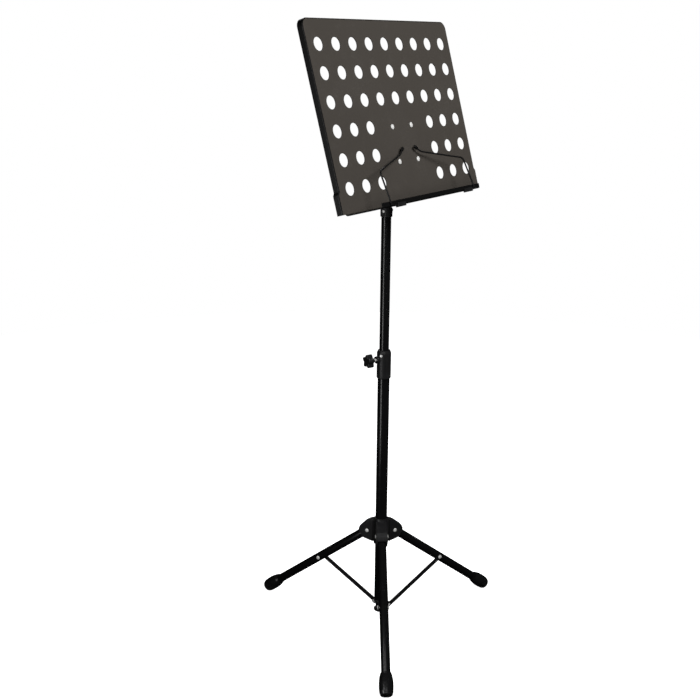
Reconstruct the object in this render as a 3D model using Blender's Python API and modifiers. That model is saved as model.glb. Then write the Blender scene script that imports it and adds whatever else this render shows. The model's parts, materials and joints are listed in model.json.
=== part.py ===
"""Folding music stand: a perforated sheet-metal desk on a two-part post, with three braced legs.

Metres, +Z up. The player stands on the -Y side and looks along +Y; +X is the player's right.
"""

import math

import bmesh
import bpy
from mathutils import Matrix, Vector

MM = 0.001

# Gap left between pieces that touch.
GAP = 0.3 * MM

# Tubes: outer diameters and the one wall. The upper tube leaves room for a sleeve in the lower.
lower_od = 25.0 * MM
leg_od = 19.0 * MM
tube_wall = 1.2 * MM
sleeve_room = 1.3 * MM
upper_od = lower_od - 2 * (tube_wall + sleeve_room)

# Legs and braces. The spread is the leg's angle from the post.
leg_count = 3
leg_length = 342.5 * MM
leg_spread = math.radians(51.7)
first_leg_azimuth = math.radians(97.1)
leg_pivot_radius = lower_od / 2 + leg_od / 2 + 6.0 * MM
leg_behind_pivot = 5.0 * MM
brace_on_leg = 160.0 * MM
brace_length = 157.6 * MM
brace_pivot_radius = lower_od / 2 + 5.5 * MM
brace_width = 10.0 * MM
brace_thick = 2.0 * MM
foot_length = 46.0 * MM
foot_radius = leg_od / 2 + 5.3 * MM
foot_end_radius = leg_od / 2 + 3.3 * MM
foot_floor = 11.0 * MM
foot_sink = 1.2 * MM
rivet_radius = 2.5 * MM
rivet_head_radius = 4.2 * MM
rivet_head_height = 1.8 * MM

# Hub that slides on the lower tube.
hub_wall = 3.2 * MM
hub_above = 33.5 * MM
hub_below = 28.0 * MM
hub_cheek = 2.6 * MM
hub_reach = leg_od / 2 + 12.0 * MM

# Post.
lower_length = 573.3 * MM
tube_above_brace = 15.0 * MM
upper_length = 560.0 * MM
extension = 282.6 * MM
collar_wall = 2.2 * MM
collar_length = 60.5 * MM
collar_cap = 4.0 * MM
collar_taper = 6.0 * MM
guide_length = 40.0 * MM
guide_lip = 3.0 * MM

# Height clamp: screw, knob and pad, between the first and second legs.
clamp_below_top = 15.5 * MM
screw_radius = 3.0 * MM
boss_radius = 7.5 * MM
boss_reach = lower_od / 2 + 8.0 * MM
knob_radius = 15.0 * MM
knob_thick = 14.0 * MM
knob_reach = boss_reach + 23.5 * MM
knob_lobes = 5
collar_rivet_turn = math.radians(33.0)

# Tilt joint on top of the post.
head_radius = upper_od / 2 + 2.2 * MM
head_flat = head_radius - 1.2 * MM
head_height = 22.0 * MM
head_plug = 28.0 * MM
tilt_above_tube = 11.5 * MM
tilt_end_radius = 8.0 * MM
arm_thick = 4.0 * MM
washer_thick = 0.8 * MM
bolt_radius = 2.5 * MM
bolt_head_radius = 4.6 * MM
bolt_head_height = 3.0 * MM
nut_radius = 4.8 * MM
nut_length = 9.0 * MM

# Desk: one sheet with holes, side flanges, a ledge and its lip.
desk_lean = math.radians(16.0)
hole_pitch = 52.0 * MM
hole_radius = 12.4 * MM
hole_columns = 9
hole_rows = 6
plain_rows = 3
plain_columns = 3
desk_half_width = (hole_columns - 1) / 2 * hole_pitch + 33.5 * MM
desk_above_holes = 46.5 * MM
desk_below_holes = 46.0 * MM
desk_corner = 16.0 * MM
desk_sheet = 1.2 * MM
flange_depth = 13.0 * MM
ear_extra = 4.0 * MM
ear_depth = 13.5 * MM
ear_height = 43.0 * MM
ledge_depth = 39.0 * MM
ledge_back_half = desk_half_width - 5.5 * MM
ledge_front_half = desk_half_width - 63.5 * MM
lip_height = 9.0 * MM

# Where the tilt axis lies: behind the desk's face and below its lowest row of holes.
axis_behind_face = 77.6 * MM
axis_below_holes = 52.4 * MM

# Bracket on the desk's back.
bracket_width = 86.0 * MM
bracket_bottom = 22.0 * MM
bracket_height = 92.0 * MM
bracket_sheet = 2.0 * MM
desk_rivet_spread = 33.0 * MM
desk_rivet_low = 34.0 * MM
desk_rivet_high = 101.5 * MM
desk_rivet_radius = 2.4 * MM
desk_rivet_head = 5.0 * MM

# Page holders: bent wire on a horizontal foot along the lip.
wire_radius = 1.6 * MM
holder_outer = ledge_front_half - 26.0 * MM
holder_inner = holder_outer - 40.0 * MM
holder_front = 43.5 * MM
holder_knee_height = 66.0 * MM
holder_knee_back = 12.0 * MM
holder_end = (35.0 * MM, 93.0 * MM, 7.5 * MM)
holder_tip_end = (22.0 * MM, 104.0 * MM, 5.5 * MM)
wire_bend = 8.0 * MM
block_length = 26.0 * MM
block_size = 8.0 * MM
tip_radius = 3.2 * MM
tip_length = 16.0 * MM

round_steps = 24
small_steps = 12
hole_steps = 16

# Places worked out from the sizes above.
foot_profile = [
    (0.75 * foot_radius, foot_length),
    (0.81 * foot_radius, 0.97 * foot_length),
    (0.94 * foot_radius, 0.76 * foot_length),
    (foot_radius, 0.54 * foot_length),
    (0.98 * foot_radius, 0.28 * foot_length),
    (foot_end_radius, 0.04 * foot_length),
    (foot_end_radius - 0.05 * foot_radius, 0.0),
]
foot_drop = max(r * math.sin(leg_spread) - h * math.cos(leg_spread) for r, h in foot_profile)
pivot_height = leg_length * math.cos(leg_spread) + foot_drop - foot_sink
brace_top_radius = leg_pivot_radius + brace_on_leg * math.sin(leg_spread)
brace_top_height = pivot_height - brace_on_leg * math.cos(leg_spread)
brace_run = brace_top_radius - brace_pivot_radius
brace_angle = math.asin(brace_run / brace_length)
brace_foot_height = brace_top_height - brace_length * math.cos(brace_angle)
lower_bottom = brace_foot_height + tube_above_brace
lower_top = lower_bottom + lower_length
upper_top = lower_top + extension
tilt_height = upper_top + tilt_above_tube
collar_radius = lower_od / 2 + GAP + collar_wall
collar_top = lower_top + collar_cap
clamp_height = lower_top - clamp_below_top
clamp_azimuth = first_leg_azimuth + math.pi / leg_count
leg_side = leg_od / 2
brace_side = leg_side + GAP
desk_bottom = axis_below_holes - desk_below_holes
desk_top = axis_below_holes + (hole_rows - 1) * hole_pitch + desk_above_holes
desk_face = -axis_behind_face


def clear_scene():
    for obj in list(bpy.data.objects):
        bpy.data.objects.remove(obj)


def new_collection(name):
    made = bpy.data.collections.new(name)
    bpy.context.scene.collection.children.link(made)
    return made


def new_material(name, colour, roughness, metallic):
    made = bpy.data.materials.new(name)
    made.use_nodes = True
    shader = made.node_tree.nodes["Principled BSDF"]
    shader.inputs["Base Color"].default_value = (*colour, 1.0)
    shader.inputs["Roughness"].default_value = roughness
    shader.inputs["Metallic"].default_value = metallic
    made.diffuse_color = (*colour, 1.0)
    return made


clear_scene()
parts = new_collection("music_stand")
cutters = new_collection("cutters")
cutters.hide_render = True

COLOURS = {
    "desk_paint": ((0.075, 0.068, 0.064), 0.5, 0.2),
    "tube_paint": ((0.012, 0.012, 0.013), 0.22, 0.3),
    "black_plastic": ((0.02, 0.02, 0.021), 0.42, 0.0),
    "black_rubber": ((0.012, 0.012, 0.012), 0.6, 0.0),
    "zinc": ((0.72, 0.72, 0.7), 0.3, 1.0),
    "nylon": ((0.6, 0.58, 0.52), 0.5, 0.0),
}
materials = {name: new_material(name, *look) for name, look in COLOURS.items()}


def add_object(name, data, parent=None, matrix=None, finish=None, cutter=False):
    obj = bpy.data.objects.new(name, data)
    if cutter:
        cutters.objects.link(obj)
        obj.hide_render = True
        obj.display_type = "WIRE"
    else:
        parts.objects.link(obj)
        obj.data.materials.append(materials[finish])
    obj.parent = parent
    obj.matrix_local = matrix or Matrix()
    return obj


def add_empty(name, parent=None, matrix=None):
    empty = bpy.data.objects.new(name, None)
    parts.objects.link(empty)
    empty.empty_display_size = 0.02
    empty.parent = parent
    empty.matrix_local = matrix or Matrix()
    return empty


def turned(name, profile, closed=False, steps=round_steps, **place):
    """A shape turned about its local Z from (radius, height) points, outer side top to bottom."""
    mesh = bpy.data.meshes.new(name)
    verts = [(r, 0, h) for r, h in profile]
    edges = [(i, i + 1) for i in range(len(verts) - 1)]
    if closed:
        edges.append((len(verts) - 1, 0))
    mesh.from_pydata(verts, edges, [])
    obj = add_object(name, mesh, **place)
    screw = obj.modifiers.new("turn", "SCREW")
    screw.steps = steps
    screw.render_steps = steps
    screw.use_merge_vertices = True
    screw.merge_threshold = 0.00001
    screw.use_smooth_shade = True
    return obj


def ring(name, outer, inner, bottom, top, **place):
    profile = [(outer, top), (outer, bottom), (inner, bottom), (inner, top)]
    return turned(name, profile, closed=True, **place)


def rod(name, radius, bottom, top, **place):
    return turned(name, [(0, top), (radius, top), (radius, bottom), (0, bottom)], **place)


def block(name, low, high, **place):
    mesh = bpy.data.meshes.new(name)
    bm = bmesh.new()
    size = Vector(high) - Vector(low)
    middle = (Vector(high) + Vector(low)) / 2
    matrix = Matrix.Translation(middle) @ Matrix.Diagonal((*size, 1))
    bmesh.ops.create_cube(bm, size=1, matrix=matrix)
    bm.to_mesh(mesh)
    bm.free()
    return add_object(name, mesh, **place)


def slab(name, outline, low, high, **place):
    """A flat outline in local X and Z, extruded along local Y from low to high."""
    mesh = bpy.data.meshes.new(name)
    bm = bmesh.new()
    face = bm.faces.new([bm.verts.new((x, low, z)) for x, z in outline])
    grown = bmesh.ops.extrude_face_region(bm, geom=[face])["geom"]
    moved = [item for item in grown if isinstance(item, bmesh.types.BMVert)]
    bmesh.ops.translate(bm, vec=(0, high - low, 0), verts=moved)
    bmesh.ops.recalc_face_normals(bm, faces=bm.faces)
    bm.to_mesh(mesh)
    bm.free()
    return add_object(name, mesh, **place)


def boolean(target, tool, operation="DIFFERENCE"):
    step = target.modifiers.new(operation.lower(), "BOOLEAN")
    step.operation = operation
    step.object = tool
    return target


def arc(centre, radius, start, end, count):
    """Points on an arc between two angles in degrees, both ends included."""
    turns = [math.radians(start + (end - start) * i / count) for i in range(count + 1)]
    return [(centre[0] + radius * math.cos(t), centre[1] + radius * math.sin(t)) for t in turns]


def along(direction, origin=(0, 0, 0)):
    """A frame at origin whose Z points along a direction."""
    turn = Vector(direction).to_track_quat("Z", "X").to_matrix().to_4x4()
    return Matrix.Translation(origin) @ turn


def rivet(name, start, end, radius, head, parent, steps=small_steps):
    """A rivet from start to end with a low domed head outside both; both are local points."""
    span = Vector(end) - Vector(start)
    length = span.length
    rim = rivet_head_height
    profile = [
        (0, length + rim),
        (0.55 * head, length + 0.86 * rim),
        (0.88 * head, length + 0.45 * rim),
        (head, length),
        (radius, length),
        (radius, 0),
        (head, 0),
        (0.88 * head, -0.45 * rim),
        (0.55 * head, -0.86 * rim),
        (0, -rim),
    ]
    return turned(
        name, profile, steps=steps, parent=parent, matrix=along(span, start), finish="zinc"
    )


def make_post(stand):
    """The lower tube, its bottom bracket, the clutch collar and what fastens them."""
    inner = lower_od / 2 - tube_wall
    tube = ring(
        "lower_tube",
        lower_od / 2,
        inner,
        lower_bottom,
        lower_top,
        parent=stand,
        finish="tube_paint",
    )
    clamp = Matrix.Translation((0, 0, clamp_height)) @ Matrix.Rotation(clamp_azimuth, 4, "Z")
    clamp_frame = clamp @ along((1, 0, 0))
    hole = rod(
        "screw_hole",
        screw_radius + GAP,
        0,
        2 * boss_reach,
        parent=stand,
        matrix=clamp_frame,
        cutter=True,
    )
    boolean(tube, hole)

    bore = lower_od / 2 + GAP
    guide = upper_od / 2 + GAP
    collar_bottom = collar_top - collar_length
    profile = [
        (0, collar_top),
        (collar_radius - 2.4 * MM, collar_top),
        (collar_radius, collar_top - collar_taper),
        (collar_radius, collar_bottom + 1.0 * MM),
        (collar_radius - 0.6 * MM, collar_bottom),
        (0, collar_bottom),
    ]
    collar = turned("clutch_collar", profile, parent=stand, finish="black_plastic")
    boss = rod(
        "collar_boss",
        boss_radius,
        0.3 * collar_radius,
        boss_reach,
        parent=stand,
        matrix=clamp_frame,
        cutter=True,
    )
    profile = [
        (0, collar_top + 5.0 * MM),
        (guide, collar_top + 5.0 * MM),
        (guide, lower_top + GAP),
        (bore, lower_top + GAP),
        (bore, collar_bottom - 5.0 * MM),
        (0, collar_bottom - 5.0 * MM),
    ]
    collar_bore = turned("collar_bore", profile, parent=stand, cutter=True)
    boolean(collar, boss, "UNION")
    boolean(collar, collar_bore)
    boolean(collar, hole)

    turn = Matrix.Rotation(clamp_azimuth + collar_rivet_turn, 4, "Z")
    rivet_height = collar_top - collar_taper - rivet_head_radius
    spot = Matrix.Translation((0, 0, rivet_height)) @ turn
    start = inner - tube_wall / 2
    shank = 0.7 * rivet_radius
    cut = rod(
        "collar_rivet_hole",
        shank + GAP,
        0,
        2 * collar_radius,
        parent=stand,
        matrix=spot @ along((1, 0, 0)),
        cutter=True,
    )
    boolean(collar, cut)
    boolean(tube, cut)
    end = collar_radius + GAP
    profile = [
        (0, end + 1.5 * MM),
        (2.2 * MM, end + 1.1 * MM),
        (3.2 * MM, end),
        (shank, end),
        (shank, start + tube_wall),
        (0, start + tube_wall),
    ]
    turned(
        "collar_rivet",
        profile,
        steps=small_steps,
        parent=stand,
        matrix=spot @ along((1, 0, 0)),
        finish="zinc",
    )
    turned(
        "clamp_pad",
        [(0, 0.9 * MM), (screw_radius, 0.9 * MM), (screw_radius, 0), (0, 0)],
        steps=small_steps,
        parent=stand,
        matrix=clamp @ along((1, 0, 0), (upper_od / 2 + GAP, 0, 0)),
        finish="nylon",
    )
    make_brace_bracket(stand, inner)


def make_brace_bracket(stand, tube_inner):
    """The spool in the bottom of the lower tube, with one ear beside each brace."""
    core = brace_side - GAP - 1.0 * MM
    low = brace_foot_height - 13.0 * MM
    disc = lower_od / 2 + 1.2 * MM
    top = lower_bottom - GAP
    profile = [
        (tube_inner - 1.6 * MM, lower_bottom + 24.0 * MM),
        (tube_inner - GAP, lower_bottom + 22.0 * MM),
        (tube_inner - GAP, top),
        (disc, top),
        (disc, top - 4.0 * MM),
        (core, top - 5.0 * MM),
        (core, low + 6.0 * MM),
        (disc, low + 4.0 * MM),
        (disc, low + 1.5 * MM),
        (disc - 2.0 * MM, low),
        (core - 3.0 * MM, low),
        (core - 3.0 * MM, lower_bottom + 24.0 * MM),
    ]
    bracket = turned("brace_bracket", profile, closed=True, parent=stand, finish="black_plastic")
    for index in range(leg_count):
        turn = Matrix.Rotation(first_leg_azimuth + math.tau * index / leg_count, 4, "Z")
        reach = brace_pivot_radius
        radius = 0.6 * brace_width
        foot = brace_foot_height
        outline = [(3.0 * MM, foot - radius)]
        outline += arc((reach, foot), radius, -90, 90, 6)
        outline += [(3.0 * MM, foot + radius)]
        ear = slab(
            f"bracket_ear_{index + 1}",
            outline,
            GAP - brace_side,
            GAP - brace_side + 2.6 * MM,
            parent=stand,
            matrix=turn,
            cutter=True,
        )
        boolean(bracket, ear, "UNION")
        hole = rod(
            f"bracket_hole_{index + 1}",
            rivet_radius + GAP,
            -brace_side,
            2 * brace_side,
            steps=small_steps,
            parent=stand,
            matrix=turn @ along((0, -1, 0), (reach, 0, foot)),
            cutter=True,
        )
        boolean(bracket, hole)
        head = brace_side - GAP - 2.6 * MM - GAP
        shank_end = brace_side - 0.2 * MM
        profile = [
            (0, shank_end),
            (rivet_radius, shank_end),
            (rivet_radius, head),
            (rivet_head_radius, head),
            (0.6 * rivet_head_radius, head - rivet_head_height),
            (0, head - rivet_head_height),
        ]
        turned(
            f"bracket_pin_{index + 1}",
            profile,
            steps=small_steps,
            parent=stand,
            matrix=turn @ along((0, -1, 0), (reach, 0, foot)),
            finish="zinc",
        )


def make_clamp(stand):
    """The star knob and its screw, on an empty whose Z is the screw's axis."""
    spot = Matrix.Translation((0, 0, clamp_height)) @ Matrix.Rotation(clamp_azimuth, 4, "Z")
    axis = add_empty("knob_axis", stand, spot @ along((1, 0, 0)))
    tip = upper_od / 2 + GAP + 0.9 * MM + GAP
    bottom = knob_reach - knob_thick
    turned(
        "clamp_screw",
        [
            (0, knob_reach - 4.0 * MM),
            (screw_radius, knob_reach - 4.0 * MM),
            (screw_radius, tip),
            (0, tip),
        ],
        steps=small_steps,
        parent=axis,
        finish="zinc",
    )
    outline = []
    lobe = 0.34 * knob_radius
    steps = 6 * knob_lobes
    for index in range(steps):
        turn = math.tau * index / steps
        radius = knob_radius - lobe / 2 + lobe / 2 * math.cos(knob_lobes * turn)
        outline.append((radius * math.cos(turn), radius * math.sin(turn)))
    knob = slab(
        "height_knob",
        outline,
        -knob_reach,
        -bottom,
        parent=axis,
        matrix=Matrix.Rotation(-math.pi / 2, 4, "X"),
        finish="black_plastic",
    )
    edge = knob.modifiers.new("edge", "BEVEL")
    edge.width = 1.6 * MM
    edge.segments = 2
    edge.limit_method = "ANGLE"
    edge.angle_limit = math.radians(50)
    neck = rod(
        "knob_neck",
        0.42 * knob_radius,
        bottom - 3.0 * MM,
        bottom + 3.0 * MM,
        parent=axis,
        cutter=True,
    )
    boolean(knob, neck, "UNION")
    bore = rod(
        "knob_bore",
        screw_radius + GAP,
        bottom - 10.0 * MM,
        knob_reach - 3.6 * MM,
        parent=axis,
        cutter=True,
    )
    boolean(knob, bore)


def make_hub(stand):
    """The sliding hub: a sleeve with three hooded forks, one for each leg."""
    slide = add_empty("hub_slide", stand)
    bore = lower_od / 2 + GAP
    outer = bore + hub_wall
    top = pivot_height + hub_above
    low = pivot_height - hub_below
    profile = [
        (bore + 1.4 * MM, top),
        (outer - 0.6 * MM, top - 6.0 * MM),
        (outer, top - 12.0 * MM),
        (outer, low + 1.0 * MM),
        (outer - 0.8 * MM, low),
        (bore, low),
        (bore, top),
    ]
    hub = turned("leg_hub", profile, closed=True, parent=slide, finish="black_plastic")
    half = leg_side + GAP + hub_cheek
    pivot = (leg_pivot_radius, pivot_height)
    wing = [
        (-0.64, 1.30), (-0.24, 1.13), (0.19, 0.94), (0.56, 0.69), (0.84, 0.36), (0.97, 0.05),
        (1.0, -0.2), (0.97, -0.4), (0.78, -0.42), (0.65, -0.74), (0.37, -0.93), (-0.09, -1.0),
        (-0.64, -1.1),
    ]
    outline = [(pivot[0] + x * hub_reach, pivot[1] + z * hub_reach) for x, z in wing]
    slope = math.pi / 2 - leg_spread
    swing = math.hypot(leg_side, leg_behind_pivot)
    roof = (swing + GAP) / math.cos(slope)
    inner = outer + 0.6 * MM
    rise = pivot[1] + roof + leg_pivot_radius * math.tan(slope)
    slot = [
        (inner, low - 60.0 * MM),
        (inner, rise - (inner + 7.0 * MM) * math.tan(slope)),
        (inner + 7.0 * MM, rise - (inner + 7.0 * MM) * math.tan(slope)),
        (110.0 * MM, rise - 110.0 * MM * math.tan(slope)),
        (110.0 * MM, low - 60.0 * MM),
    ]
    for index in range(leg_count):
        turn = Matrix.Rotation(first_leg_azimuth + math.tau * index / leg_count, 4, "Z")
        place = {"parent": slide, "matrix": turn, "cutter": True}
        boolean(hub, slab(f"hub_wing_{index + 1}", outline, -half, half, **place), "UNION")
    for index in range(leg_count):
        turn = Matrix.Rotation(first_leg_azimuth + math.tau * index / leg_count, 4, "Z")
        room = leg_side + GAP
        place = {"parent": slide, "matrix": turn, "cutter": True}
        boolean(hub, slab(f"hub_slot_{index + 1}", slot, -room, room, **place))
        centre = (leg_pivot_radius, 0, pivot_height)
        hole = rod(
            f"hub_hole_{index + 1}",
            rivet_radius + GAP,
            -half - 5.0 * MM,
            half + 5.0 * MM,
            steps=small_steps,
            parent=slide,
            matrix=turn @ along((0, 1, 0), centre),
            cutter=True,
        )
        boolean(hub, hole)
        carrier = add_empty(f"hub_rivet_frame_{index + 1}", slide, turn)
        ends = half + GAP
        rivet(
            f"leg_pivot_rivet_{index + 1}",
            (leg_pivot_radius, -ends, pivot_height),
            (leg_pivot_radius, ends, pivot_height),
            rivet_radius,
            rivet_head_radius,
            carrier,
        )
    return slide


def make_leg(index, stand, slide):
    """One leg: tube, rubber foot and the rivet that holds its brace."""
    turn = Matrix.Rotation(first_leg_azimuth + math.tau * index / leg_count, 4, "Z")
    number = index + 1
    place = Matrix.Translation((leg_pivot_radius, 0, pivot_height))
    down = Matrix.Rotation(math.pi - leg_spread, 4, "Y")
    pivot = add_empty(f"leg_{number}_pivot", slide, turn @ place @ down)
    tube = ring(
        f"leg_tube_{number}",
        leg_side,
        leg_side - tube_wall,
        -leg_behind_pivot,
        leg_length - foot_floor - GAP,
        parent=pivot,
        finish="tube_paint",
    )
    for name, at in (("pivot", 0.0), ("brace", brace_on_leg)):
        hole = rod(
            f"leg_{name}_hole_{number}",
            rivet_radius + GAP,
            -leg_side - 3.0 * MM,
            leg_side + 3.0 * MM,
            steps=small_steps,
            parent=pivot,
            matrix=along((0, 1, 0), (0, 0, at)),
            cutter=True,
        )
        boolean(tube, hole)
    socket = leg_side + GAP
    profile = [(0, leg_length - foot_floor), (socket, leg_length - foot_floor)]
    profile += [(socket, leg_length - foot_length)]
    profile += [(r, leg_length - h) for r, h in foot_profile]
    profile += [(0, leg_length)]
    profile.reverse()
    foot = turned(f"leg_foot_{number}", profile, parent=pivot, finish="black_rubber")
    reach = leg_length + foot_length
    below = (-reach, -reach, -foot_length)
    floor = block(f"floor_{number}", below, (reach, reach, 0), parent=stand, cutter=True)
    boolean(foot, floor)
    rivet(
        f"brace_rivet_{number}",
        (0, leg_side + GAP, brace_on_leg),
        (0, -brace_side - brace_thick - GAP, brace_on_leg),
        rivet_radius,
        rivet_head_radius,
        pivot,
    )
    make_brace(number, pivot)


def make_brace(number, pivot):
    """One brace: a flat strip along local Z, on the leg's side, with its own lower pin."""
    across = leg_spread + brace_angle
    frame = Matrix.Translation((0, 0, brace_on_leg)) @ Matrix.Rotation(across, 4, "Y")
    hinge = add_empty(f"brace_{number}_hinge", pivot, frame)
    half = brace_width / 2
    outline = arc((0, 0), half, 0, -180, 8)
    outline += [(x, brace_length - z) for x, z in arc((0, 0), half, 180, 360, 8)]
    strip = slab(
        f"leg_brace_{number}",
        outline,
        -brace_side - brace_thick,
        -brace_side,
        parent=hinge,
        finish="tube_paint",
    )
    for name, at in (("top", 0.0), ("low", brace_length)):
        hole = rod(
            f"brace_{name}_hole_{number}",
            rivet_radius + GAP,
            -leg_od,
            leg_od,
            steps=small_steps,
            parent=hinge,
            matrix=along((0, 1, 0), (0, 0, at)),
            cutter=True,
        )
        boolean(strip, hole)
    start = brace_side + 0.2 * MM
    end = brace_side + brace_thick + GAP
    profile = [
        (0, end + rivet_head_height),
        (0.6 * rivet_head_radius, end + 0.8 * rivet_head_height),
        (rivet_head_radius, end),
        (rivet_radius, end),
        (rivet_radius, start),
        (0, start),
    ]
    turned(
        f"brace_end_pin_{number}",
        profile,
        steps=small_steps,
        parent=hinge,
        matrix=along((0, -1, 0), (0, 0, brace_length)),
        finish="zinc",
    )


def make_upper_post(stand):
    """The guide sleeve, the upper tube and the tilt head with its bolt."""
    riser = add_empty("height_slide", stand, Matrix.Translation((0, 0, upper_top)))
    bottom = -upper_length
    sleeve = upper_od / 2 + GAP
    turned(
        "guide_sleeve",
        [
            (lower_od / 2 - tube_wall - GAP, bottom + guide_length),
            (lower_od / 2 - tube_wall - GAP, bottom - guide_lip),
            (upper_od / 2 - 2.0 * MM, bottom - guide_lip),
            (upper_od / 2 - 2.0 * MM, bottom - GAP),
            (sleeve, bottom - GAP),
            (sleeve, bottom + guide_length),
        ],
        closed=True,
        parent=riser,
        finish="nylon",
    )
    swivel = add_empty("desk_swivel", riser)
    inner = upper_od / 2 - tube_wall
    ring("upper_tube", upper_od / 2, inner, bottom, 0, parent=swivel, finish="tube_paint")
    profile = [
        (0, head_height),
        (0.55 * head_radius, head_height - 0.6 * MM),
        (0.9 * head_radius, head_height - 3.0 * MM),
        (head_radius, head_height - 7.0 * MM),
        (head_radius, GAP),
        (inner - GAP, GAP),
        (inner - GAP, 2.0 * MM - head_plug),
        (inner - 2.0 * MM, -head_plug),
        (0, -head_plug),
    ]
    head = turned("tilt_head", profile, parent=swivel, finish="black_plastic")
    room = arm_thick / 2 + washer_thick + 2 * GAP
    floor = tilt_above_tube - tilt_end_radius - 2 * GAP
    far = 2 * head_radius
    slot = block("head_slot", (-room, -far, floor), (room, far, far), parent=swivel, cutter=True)
    boolean(head, slot)
    for side in (-1, 1):
        ends = sorted((side * head_flat, side * far))
        low = (ends[0], -far, 2.0 * MM)
        high = (ends[1], far, 2 * far)
        name = "head_flat_left" if side < 0 else "head_flat_right"
        boolean(head, block(name, low, high, parent=swivel, cutter=True))
    axis = along((1, 0, 0), (0, 0, tilt_above_tube))
    hole = rod("bolt_hole", bolt_radius + GAP, -far, far, parent=swivel, matrix=axis, cutter=True)
    boolean(head, hole)
    start = -head_flat - GAP
    end = head_flat + 2 * GAP + nut_length - 2.0 * MM
    profile = [
        (0, end),
        (bolt_radius, end),
        (bolt_radius, start),
        (bolt_head_radius, start),
        (0.9 * bolt_head_radius, start - 0.6 * bolt_head_height),
        (0.5 * bolt_head_radius, start - bolt_head_height),
        (0, start - bolt_head_height),
    ]
    turned(
        "tilt_bolt", profile, steps=small_steps, parent=swivel, matrix=axis, finish="zinc"
    )
    base = head_flat + GAP
    profile = [
        (0, base + nut_length),
        (0.5 * nut_radius, base + 0.95 * nut_length),
        (0.85 * nut_radius, base + 0.75 * nut_length),
        (nut_radius, base + 0.5 * nut_length),
        (nut_radius, base),
        (bolt_radius + GAP, base),
        (bolt_radius + GAP, base + nut_length - 1.4 * MM),
        (0, base + nut_length - 1.4 * MM),
    ]
    turned(
        "tilt_nut", profile, steps=small_steps, parent=swivel, matrix=axis, finish="black_plastic"
    )
    for name, side in (("left", -1), ("right", 1)):
        near = side * (arm_thick / 2 + GAP)
        ends = sorted((near, near + side * washer_thick))
        ring(
            f"tilt_washer_{name}",
            0.85 * tilt_end_radius,
            bolt_radius + GAP,
            *ends,
            steps=round_steps,
            parent=swivel,
            matrix=axis,
            finish="nylon",
        )
    return swivel


def desk_outline():
    """The upper rim of the desk's face from its lower right corner round to its lower left."""
    step = desk_bottom + ear_height
    wide = desk_half_width + ear_extra
    right = [(wide, desk_bottom), (wide, step - ear_extra), (desk_half_width, step)]
    corner = (desk_half_width - desk_corner, desk_top - desk_corner)
    right += arc(corner, desk_corner, 0, 90, 6)
    return right + [(-x, z) for x, z in reversed(right)]


def desk_surface():
    """The open front surface of the sheet: face, flanges, ledge and lip."""
    bm = bmesh.new()
    rim = desk_outline()
    step = desk_bottom + ear_height - ear_extra / 2
    front = [bm.verts.new((x, desk_face, z)) for x, z in rim]
    depths = [ear_depth if z < step else flange_depth for x, z in rim]
    back = [bm.verts.new((x, desk_face + d, z)) for (x, z), d in zip(rim, depths)]
    for i in range(len(rim) - 1):
        bm.faces.new((front[i], back[i], back[i + 1], front[i + 1]))
    ledge = [bm.verts.new((x, desk_face, desk_bottom)) for x in (-ledge_back_half, ledge_back_half)]
    bm.faces.new([*reversed(front), *reversed(ledge)])
    reach = desk_face - ledge_depth
    nose = [bm.verts.new((x, reach, desk_bottom)) for x in (-ledge_front_half, ledge_front_half)]
    bm.faces.new((ledge[0], ledge[1], nose[1], nose[0]))
    lip_top = desk_bottom + lip_height
    edge = [bm.verts.new((x, reach, lip_top)) for x in (-ledge_front_half, ledge_front_half)]
    bm.faces.new((nose[0], nose[1], edge[1], edge[0]))
    bmesh.ops.recalc_face_normals(bm, faces=bm.faces)
    bm.normal_update()
    widest = max(bm.faces, key=lambda face: face.calc_area())
    if widest.normal.y > 0:
        bmesh.ops.reverse_faces(bm, faces=bm.faces)
    mesh = bpy.data.meshes.new("desk_plate")
    bm.to_mesh(mesh)
    bm.free()
    return mesh


def punched_holes():
    """Centres of the large holes, as (x, z) in the desk's frame."""
    middle = hole_columns // 2
    for row in range(hole_rows):
        for column in range(-middle, middle + 1):
            plain = row < plain_rows and abs(column) <= plain_columns // 2
            if not plain:
                yield column * hole_pitch, axis_below_holes + row * hole_pitch


def rivet_places():
    """Centres of the four bracket rivets, as (x, z) in the desk's frame."""
    for height in (desk_rivet_low, desk_rivet_high):
        for side in (-1, 1):
            yield side * desk_rivet_spread, axis_below_holes + height


def hole_cutter(name, centres, radius, steps, parent):
    mesh = bpy.data.meshes.new(name)
    bm = bmesh.new()
    for x, z in centres:
        place = Matrix.Translation((x, desk_face, z)) @ Matrix.Rotation(math.pi / 2, 4, "X")
        bmesh.ops.create_cone(
            bm,
            cap_ends=True,
            segments=steps,
            radius1=radius,
            radius2=radius,
            depth=24.0 * MM,
            matrix=place,
        )
    bm.to_mesh(mesh)
    bm.free()
    return add_object(name, mesh, parent=parent, cutter=True)


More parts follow.
